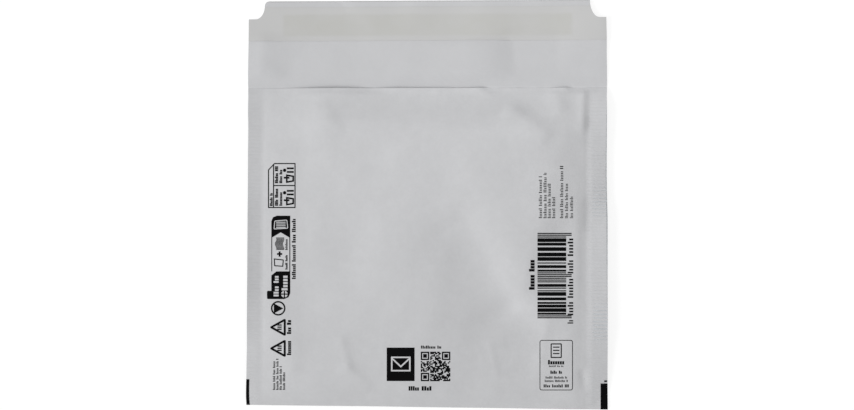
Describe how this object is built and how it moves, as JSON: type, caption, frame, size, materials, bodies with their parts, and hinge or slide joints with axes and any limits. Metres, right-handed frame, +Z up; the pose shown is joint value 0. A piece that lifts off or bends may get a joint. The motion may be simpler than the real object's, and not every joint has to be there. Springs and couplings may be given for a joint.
{
  "type": "padded envelope",
  "caption": "White paper envelope lined with bubble film, lying flat and empty, its gummed flap open and a release strip still over the glue.",
  "frame": {"origin": "middle of the object's box in X and Y, on the surface that the back panel lies on", "axes": "+X across the envelope, to the right as seen on its front; +Y from the bottom fold to the flap's tip; +Z up, out of the front panel"},
  "size_m": [0.2, 0.226, 0.01],
  "materials": {
    "paper": "matt white paper",
    "bubble_film": "clear bubble film over white paper",
    "adhesive": "clear pressure-sensitive glue",
    "release_paper": "smooth coated paper",
    "printing_ink": "matt black printing ink"
  },
  "bodies": {
    "root": {"paper_cover": "paper", "bubble_liner": "bubble_film", "adhesive_strip": "adhesive", "release_strip": "release_paper"}
  },
  "joints": []
}
